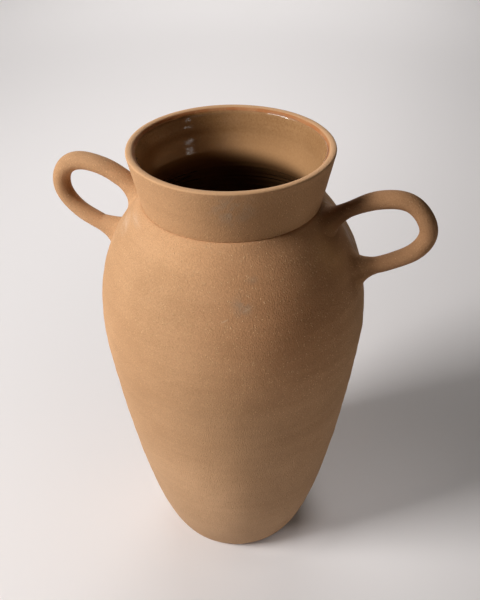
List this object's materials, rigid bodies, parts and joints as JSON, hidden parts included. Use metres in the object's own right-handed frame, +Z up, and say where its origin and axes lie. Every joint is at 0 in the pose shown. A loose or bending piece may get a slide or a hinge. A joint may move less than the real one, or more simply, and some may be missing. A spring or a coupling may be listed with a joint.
{
  "type": "pottery jar",
  "caption": "Tall stoneware jar with a tapering body, flared collar, rounded lip, looped coil handles and a glazed inside, for holding water, stems or branches.",
  "frame": {"origin": "middle of the flat base", "axes": "+Z up along the jar's axis, +X towards the right handle, +Y to the back"},
  "size_m": [0.3084, 0.217, 0.39],
  "materials": {
    "clay": "unglazed tan stoneware with fine pale grog, matt",
    "pressed_clay": "unglazed tan stoneware smoothed by finger, matt",
    "glaze": "clear glossy glaze over tan clay"
  },
  "bodies": {
    "root": {"body": "clay", "collar": "clay", "handle_right": "clay", "handle_left": "clay", "root_right_upper": "pressed_clay", "root_right_lower": "pressed_clay", "root_left_upper": "pressed_clay", "root_left_lower": "pressed_clay", "inner_glaze": "glaze"}
  },
  "joints": []
}
